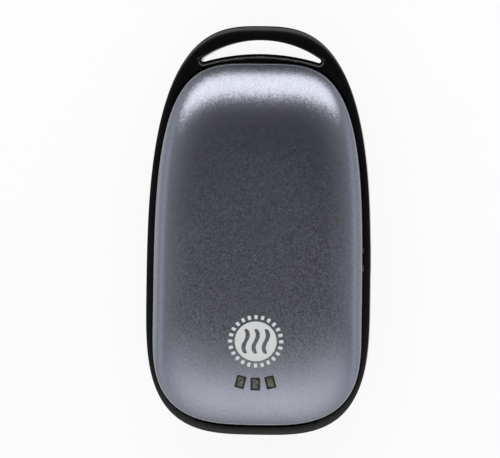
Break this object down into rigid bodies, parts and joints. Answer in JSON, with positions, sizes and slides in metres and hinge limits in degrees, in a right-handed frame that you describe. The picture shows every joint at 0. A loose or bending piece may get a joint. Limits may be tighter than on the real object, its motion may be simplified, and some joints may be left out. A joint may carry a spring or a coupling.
{
  "type": "rechargeable hand warmer",
  "caption": "Pocket hand warmer and power bank: two pillow-shaped metal covers on a black plastic frame with a carrying loop, a side button and two sockets in its lower end.",
  "frame": {"origin": "centre of the bounding box of the whole part, on the plane of the resting face of the back cover", "axes": "+X across the width towards the power button, +Y along the length towards the carrying loop, +Z through the thickness out of the front cover"},
  "size_m": [0.0604, 0.11, 0.026],
  "materials": {
    "cover_metal": "satin metallic paint with fine flake",
    "frame_black": "satin moulded ABS",
    "chassis_grey": "moulded",
    "holder_black": "moulded",
    "foam_grey": "open-cell foam",
    "zinc_steel": "zinc plated",
    "socket_steel": "nickel plated",
    "nickel": "rolled",
    "cell_sleeve": "shrink sleeve",
    "insulator_paper": "fibre paper",
    "board_green": "solder mask",
    "board_white": "solder mask",
    "socket_white": "moulded",
    "contact_gold": "gold plated",
    "part_black": "moulded epoxy",
    "ferrite": "sintered",
    "can_aluminium": "drawn can",
    "led_body": "phosphor under resin",
    "lens_smoke": "clear moulded, smoke tint",
    "heater_film": "polyimide film",
    "plunger_ivory": "moulded",
    "lead_red": "silicone sleeve",
    "lead_black": "silicone sleeve",
    "lead_yellow": "PVC sleeve",
    "lead_white": "PVC sleeve"
  },
  "bodies": {
    "housing": {"front_cover": "cover_metal", "back_cover": "cover_metal", "front_gasket": "foam_grey", "back_gasket": "foam_grey", "mid_frame": "frame_black", "front_plate": "chassis_grey", "back_plate": "chassis_grey", "case_screws": "zinc_steel", "cell_left": "cell_sleeve", "cell_right": "cell_sleeve", "strip_plus": "nickel", "strip_minus": "nickel", "cap_washers": "insulator_paper", "end_foam": "foam_grey", "main_board": "board_green", "board_screws": "zinc_steel", "output_shell": "socket_steel", "output_tongue_block": "socket_white", "output_contacts": "contact_gold", "charge_shell": "socket_steel", "charge_tongue_block": "holder_black", "power_inductor": "ferrite", "control_chip_body": "part_black", "charge_chip_body": "part_black", "capacitors": "can_aluminium", "indicator_board": "board_white", "status_leds": "led_body", "indicator_holder": "holder_black", "light_guide": "lens_smoke", "board_link": "holder_black", "film_front": "heater_film", "film_back": "heater_film", "foam_front": "foam_grey", "foam_back": "foam_grey", "sensor_front": "part_black", "sensor_back": "part_black", "switch_board": "board_green", "switch_body": "part_black", "lead_plus": "lead_red", "lead_minus": "lead_black", "heater_leads_front": "lead_yellow", "heater_leads_back": "lead_yellow", "switch_leads": "lead_white"},
    "power_button": {"power_button": "frame_black", "switch_plunger": "plunger_ivory"}
  },
  "joints": [
    {"name": "power_button_press", "type": "slide", "parent": "housing", "child": "power_button", "axis": [-1, 0, 0], "range_m": [0, 0.0004], "stiffness_N_per_m": 2500}
  ]
}
